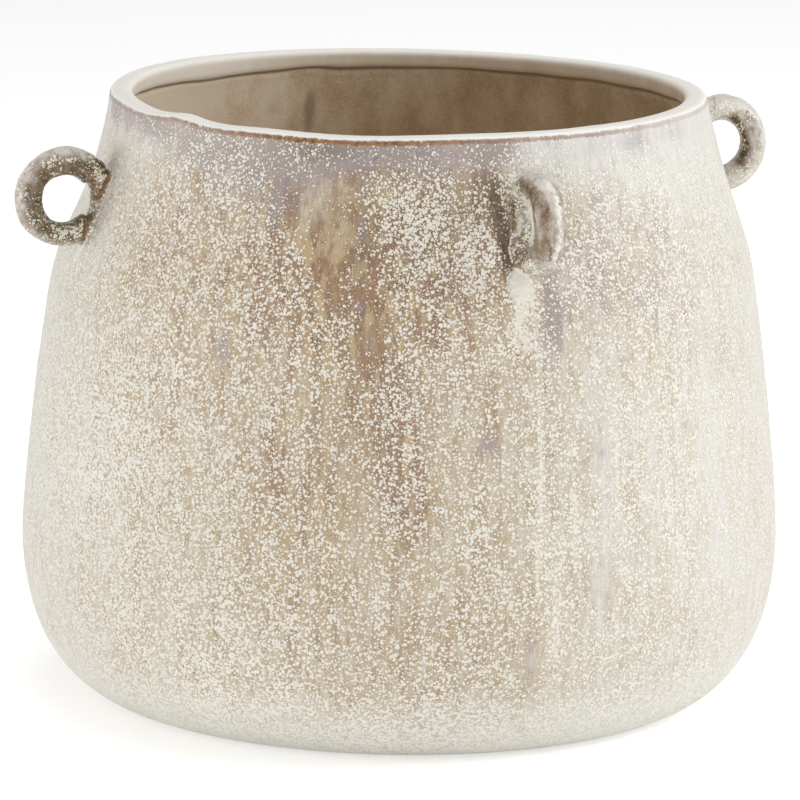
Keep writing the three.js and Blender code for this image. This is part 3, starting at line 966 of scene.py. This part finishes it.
def ramp(tree, value, stops):
    made = node(tree, "ValToRGB", {"Fac": value})
    elements = made.color_ramp.elements
    while len(elements) < len(stops):
        elements.new(0.5)
    for element, (position, colour) in zip(elements, stops):
        element.position = position
        element.color = (*colour, 1.0)
    return made.outputs[0]


def varied(tree, value, *patterns):
    """A value moved up and down by patterns that lie around 0.5, each with its amount."""
    for pattern, amount in patterns:
        value = maths(tree, "MULTIPLY_ADD", maths(tree, "SUBTRACT", pattern, 0.5), amount, value)
    return value


def crystals(tree, place, size, reach):
    """How far inside the edge of its cream dot each point is, as a share of the dots' spacing."""
    made = node(tree, "TexVoronoi", {"Vector": place, "Scale": 1.0 / size, "Randomness": 1.0})
    pick = node(tree, "SeparateColor", {0: made.outputs["Color"]}).outputs[0]
    own = maths(tree, "MULTIPLY", reach, maths(tree, "MULTIPLY_ADD", pick, 0.9, 0.55))
    return maths(tree, "SUBTRACT", own, made.outputs["Distance"])


def glaze_material(name, foot_along):
    material = bpy.data.materials.new(name)
    material.use_nodes = True
    tree = material.node_tree
    shader = tree.nodes["Principled BSDF"]
    place = node(tree, "TexCoord").outputs["Object"]
    place = node(tree, "VectorMath", {0: place, "Scale": 1.0 / MM}, operation="SCALE").outputs[0]
    run = upright(tree, place, 0.16)
    shaken = node(tree, "TexNoise", {"Vector": place, "Scale": 1.1, "Detail": 0.0}).outputs[1]
    shaken = node(tree, "VectorMath", {0: shaken, "Scale": 0.3}, operation="SCALE").outputs[0]
    shaken = node(tree, "VectorMath", {0: place, 1: shaken}, operation="ADD").outputs[0]

    hair = grain(tree, run, 0.8, 0.0)
    streak = grain(tree, run, 2.6, 2.0)
    mottle = grain(tree, place, 2.6, 2.0, 0.6)
    cloud = grain(tree, upright(tree, place, 0.5), 11.0, 2.0, 0.6)
    along = field(tree, "along")
    cover, warm, lilac, pool, rust, stain_and_shade, dark, painted_light, dimmed_dots = (field(tree, name) for name in GLAZE_FIELDS)

    tone = varied(tree, warm, (streak, 0.70), (mottle, 0.45), (hair, 0.35))
    ground = ramp(tree, tone, GROUND)
    hue = grain(tree, upright(tree, place, 0.1), 4.2, 3.0, 0.65)
    warmed = ease(tree, warm, 0.34, 0.74)
    ochre = maths(tree, "MULTIPLY", ease(tree, hue, 0.50, 0.60, 0.0, 0.85), warmed)
    ground = blend(tree, ochre, ground, OCHRE)
    russet = maths(tree, "MULTIPLY", ease(tree, hue, 0.48, 0.37, 0.0, 0.85), warmed)
    ground = blend(tree, russet, ground, RUSSET)
    film = ease(tree, varied(tree, lilac, (streak, 1.2), (cloud, 0.8)), 0.2, 0.85, 0.0, 0.85)
    lilac_colour = blend(tree, ease(tree, lilac, 0.5, 0.95), ramp(tree, tone, LILAC), LILAC_DEEP)
    lilac_colour = blend(tree, ease(tree, lilac, 1.0, 1.6), lilac_colour, LILAC_DARK)
    # Dark brown over stains, and over painted shade in the rings' hollows and grooves
    stain_and_shade_mix = ease(tree, varied(tree, stain_and_shade, (mottle, 1.2)), 0.35, 0.8, 0.0, 0.8)
    fine = grain(tree, place, 0.9, 2.0, 0.7)
    dark_tone = varied(tree, warm, (mottle, 0.85), (fine, 0.5))
    ground = blend(tree, dark, ground, ramp(tree, dark_tone, RING_GROUND))
    ground = blend(tree, film, ground, lilac_colour)
    ground = blend(tree, stain_and_shade_mix, ground, blend(tree, ease(tree, fine, 0.38, 0.62), STAIN_AND_SHADE, STAIN_AND_SHADE_PALE))

    cover = varied(tree, cover, (mottle, 0.9), (cloud, 0.7))
    reach = ease(tree, cover, -0.1, 1.2, 0.09, 0.62)
    broad_reach = varied(tree, 0.30, (cloud, -0.35))
    broad_reach = maths(tree, "MINIMUM", reach, maths(tree, "MULTIPLY_ADD", dark, -0.14, broad_reach))
    broad_dots = crystals(tree, shaken, BROAD_SPACING, broad_reach)
    small_dots = crystals(tree, shaken, SMALL_SPACING, maths(tree, "MULTIPLY", reach, 0.62))
    small_dots = maths(tree, "MULTIPLY", small_dots, 0.9)
    depth = maths(tree, "MAXIMUM", broad_dots, crystals(tree, shaken, DOT_SPACING, reach))
    depth = maths(tree, "MAXIMUM", depth, small_dots)
    dots = ease(tree, depth, -0.03, 0.04)
    halo = ease(tree, depth, -0.22, -0.02)
    ground = blend(tree, maths(tree, "MULTIPLY", halo, 0.22), ground, HALO)
    cream = blend(tree, mottle, CREAM_DULL, CREAM)
    cream = blend(tree, dimmed_dots, cream, CREAM_DIMMED)
    cream = blend(tree, maths(tree, "MULTIPLY", dark, 0.7), cream, RING_CREAM)
    outside = blend(tree, maths(tree, "MULTIPLY", dots, 0.90), ground, cream)

    drip = varied(tree, pool, (fine, 1.6), (streak, 1.0))
    drip = maths(tree, "MULTIPLY_ADD", maths(tree, "SUBTRACT", dots, 0.35), 0.75, drip)
    drip = ease(tree, drip, 0.35, 0.75)
    pool_colour = blend(tree, mottle, POOL_DULL, POOL)
    outside = blend(tree, maths(tree, "MULTIPLY", drip, 0.85), outside, pool_colour)

    wavy = varied(tree, along, (grain(tree, place, 3.0, 2.0), 1.0))
    lip = ease(tree, wavy, *BARE_LIP)
    burn = maths(tree, "ABSOLUTE", maths(tree, "SUBTRACT", wavy, RUST_LINE))
    burn = ease(tree, varied(tree, burn, (hair, -0.8)), RUST_REACH, RUST_CORE)
    burn = maths(tree, "MULTIPLY", burn, maths(tree, "MULTIPLY_ADD", rust, 1.2, 0.0, clamp=True))
    rust_colour = blend(tree, ease(tree, mottle, 0.36, 0.56), RUST_DARK, RUST)
    lip_colour = blend(tree, cloud, LIP_SHADE, LIP)
    colour = blend(tree, lip, outside, lip_colour)
    colour = blend(tree, burn, colour, rust_colour)

    inner_lip = ease(tree, along, *INNER_FACE)
    # The inner lip is paler on its lit back-left, painted light, and in cloudy patches
    pale_lip = maths(tree, "ADD", painted_light, maths(tree, "SUBTRACT", cloud, 0.12), clamp=True)
    colour = blend(tree, inner_lip, colour, blend(tree, pale_lip, INNER_LIP_DULL, INNER_LIP))
    inside = ease(tree, along, *INSIDE_START)
    taupe = varied(tree, cloud, (fine, 0.7))
    # The inside paler on its lit back-left: painted light
    taupe = maths(tree, "ADD", taupe, maths(tree, "MULTIPLY_ADD", painted_light, 0.72, -0.16))
    taupe = ramp(tree, taupe, INSIDE)
    # The inside darkened by the stain spots: painted shade in the finger's dent
    dent_shade = maths(tree, "MULTIPLY", ease(tree, stain_and_shade, 0.1, 0.9), 0.6)
    colour = blend(tree, inside, colour, blend(tree, dent_shade, taupe, PAINTED_SHADE))
    # A thin line of painted shadow under the lip's lower edge
    undercut = maths(tree, "ABSOLUTE", maths(tree, "SUBTRACT", along, SHADE_PLACE))
    colour = blend(tree, ease(tree, undercut, 1.1, 0.3, 0.0, 0.7), colour, PAINTED_SHADE)

    foot = ease(tree, wavy, foot_along - 1.4, foot_along - 0.6)
    colour = blend(tree, foot, colour, ramp(tree, mottle, CLAY))
    shader.inputs["Base Color"].default_value = (*PLAIN_GLAZE, 1.0)
    tree.links.new(colour, shader.inputs["Base Color"])

    matte = maths(tree, "MAXIMUM", lip, foot)
    rough = maths(tree, "MULTIPLY_ADD", dark, -0.16, 0.46)
    rough = maths(tree, "MULTIPLY_ADD", dots, 0.16, rough)
    rough = varied(tree, rough, (mottle, 0.25))
    rough = maths(tree, "MULTIPLY_ADD", matte, 0.25, rough, clamp=True)
    tree.links.new(rough, shader.inputs["Roughness"])
    shader.inputs["Specular IOR Level"].default_value = 0.4

    raised = maths(tree, "MULTIPLY", ease(tree, depth, -0.08, 0.16), 0.10)
    raised = maths(tree, "MULTIPLY", raised, maths(tree, "SUBTRACT", 1.0, matte))
    raised = maths(tree, "MULTIPLY_ADD", mottle, 0.10, raised)
    bump = node(tree, "Bump", {"Height": raised, "Strength": 1.0, "Distance": MM})
    tree.links.new(bump.outputs[0], shader.inputs["Normal"])
    return material


def set_camera():
    turn = radians(CAMERA_TURN)
    pitch = radians(CAMERA_PITCH)
    roll = radians(CAMERA_ROLL)
    ahead = Vector((-sin(turn) * cos(pitch), cos(turn) * cos(pitch), -sin(pitch)))
    right = ahead.cross(Vector((0, 0, 1))).normalized()
    up = right.cross(ahead)
    axes = Matrix((right * cos(roll) + up * sin(roll), up * cos(roll) - right * sin(roll), -ahead))
    place = Vector((CAMERA_DISTANCE * sin(turn), -CAMERA_DISTANCE * cos(turn), CAMERA_HEIGHT)) * MM
    place += right * CAMERA_SIDESTEP * MM
    data = bpy.data.cameras.new("camera")
    data.lens = LENS
    data.sensor_width = SENSOR
    data.clip_end = 50.0
    camera = bpy.data.objects.new("camera", data)
    camera.matrix_world = Matrix.Translation(place) @ axes.transposed().to_4x4()
    bpy.context.scene.collection.objects.link(camera)
    bpy.context.scene.camera = camera


def add_softbox(name, turn, distance, height, size, power):
    """A flat area lamp round the pot, aimed at its middle."""
    data = bpy.data.lights.new(name, "AREA")
    data.shape = "RECTANGLE"
    data.size, data.size_y = size
    data.energy = power
    lamp = bpy.data.objects.new(name, data)
    angle = radians(turn)
    lamp.location = Vector((distance * sin(angle), -distance * cos(angle), height)) * MM
    aim = Vector((0, 0, LAMP_AIM_HEIGHT * MM)) - lamp.location
    lamp.rotation_euler = aim.to_track_quat("-Z", "Y").to_euler()
    bpy.context.scene.collection.objects.link(lamp)


def seen_ray(tree):
    """1 for camera, glossy and transmission rays, and 0 for those that only light the pot."""
    path = node(tree, "LightPath").outputs
    shown = maths(tree, "MAXIMUM", path["Is Camera Ray"], path["Is Glossy Ray"])
    return maths(tree, "MAXIMUM", shown, path["Is Transmission Ray"])


def set_studio():
    bpy.context.scene.view_settings.view_transform = "Standard"
    world = bpy.data.worlds.new("studio")
    bpy.context.scene.world = world
    world.use_nodes = True
    tree = world.node_tree
    background = tree.nodes["Background"].inputs
    background["Color"].default_value = (1.0, 1.0, 1.0, 1.0)
    sockets = {"Value": seen_ray(tree), "To Min": SKY_STRENGTH, "To Max": 1.0}
    tree.links.new(node(tree, "MapRange", sockets).outputs[0], background["Strength"])

    for lamp in LAMPS:
        add_softbox(*lamp)

    material = bpy.data.materials.new("studio_floor")
    material.use_nodes = True
    tree = material.node_tree
    shader = tree.nodes["Principled BSDF"]
    shader.inputs["Base Color"].default_value = (FLOOR_TONE, FLOOR_TONE, FLOOR_TONE, 1.0)
    shader.inputs["Roughness"].default_value = 0.9
    shader.inputs["Emission Color"].default_value = (1.0, 1.0, 1.0, 1.0)
    glow = maths(tree, "MULTIPLY_ADD", seen_ray(tree), FLOOR_GLOW_SEEN, FLOOR_GLOW)
    tree.links.new(glow, shader.inputs["Emission Strength"])
    reach = FLOOR_REACH
    corners = [(-reach, -reach, 0), (reach, -reach, 0), (reach, reach, 0), (-reach, reach, 0)]
    floor = new_object("studio_floor", corners, [(0, 1, 2, 3)], [material], smooth=False)


set_camera()
set_studio()
foot_line = pot_outline()[2]
make_pot(glaze_material("speckled_glaze", foot_line))
ring_glaze = glaze_material("ring_glaze", foot_line)
for ring_name, ring in RINGS.items():
    make_ring(ring_name + "_ring", ring_name + "_ring_handle", ring, RING_MARKS[ring_name], ring_glaze)
